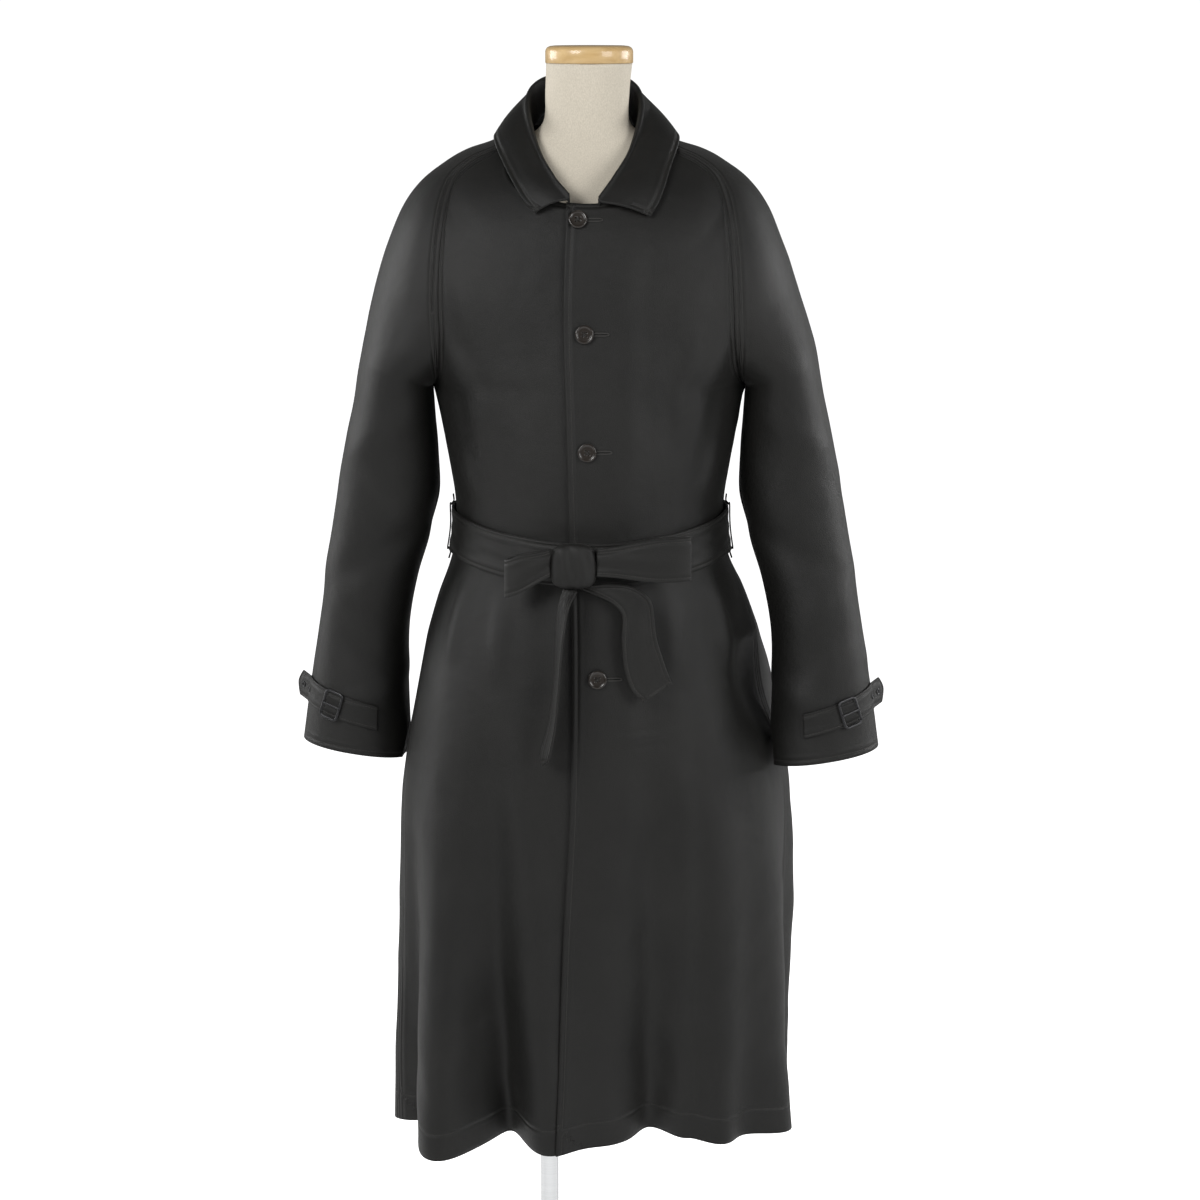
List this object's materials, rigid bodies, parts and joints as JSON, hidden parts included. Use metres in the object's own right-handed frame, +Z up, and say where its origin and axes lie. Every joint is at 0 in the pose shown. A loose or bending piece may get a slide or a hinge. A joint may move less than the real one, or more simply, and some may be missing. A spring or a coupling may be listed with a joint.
{
  "type": "shepherd coat on a limbless dress form",
  "caption": "Knee-length black raglan coat with turn-down collar, buttoned front, tied cloth belt and buckled cuff straps, worn by a limbless dress form on a pole stand.",
  "frame": {"origin": "middle of the stand base's underside", "axes": "+Z up, -Y towards the front of the coat, +X towards the wearer's left"},
  "size_m": [0.6728, 0.3781, 1.5503],
  "materials": {
    "coat_cloth": "close black cotton cloth with a soft sheen",
    "horn": "dark horn-like, polished",
    "black_metal": "black, semi-gloss",
    "linen": "plain off-white linen cover",
    "wood": "light varnished",
    "chrome": "polished"
  },
  "bodies": {
    "root": {"back": "coat_cloth", "base": "chrome", "belt_band": "coat_cloth", "belt_knot": "coat_cloth", "belt_loop_left": "coat_cloth", "belt_loop_right": "coat_cloth", "belt_tail_left": "coat_cloth", "belt_tail_right": "coat_cloth", "bow_loop_left": "coat_cloth", "bow_loop_right": "coat_cloth", "button_1": "horn", "button_2": "horn", "button_3": "horn", "button_4": "horn", "collar": "coat_cloth", "cuff_buckle_left": "black_metal", "cuff_buckle_right": "black_metal", "cuff_prong_left": "black_metal", "cuff_prong_right": "black_metal", "cuff_strap_left": "coat_cloth", "cuff_strap_right": "coat_cloth", "form_cap": "wood", "form_torso": "linen", "front_left": "coat_cloth", "front_right": "coat_cloth", "pole": "chrome", "sleeve_left": "coat_cloth", "sleeve_right": "coat_cloth"}
  },
  "joints": []
}
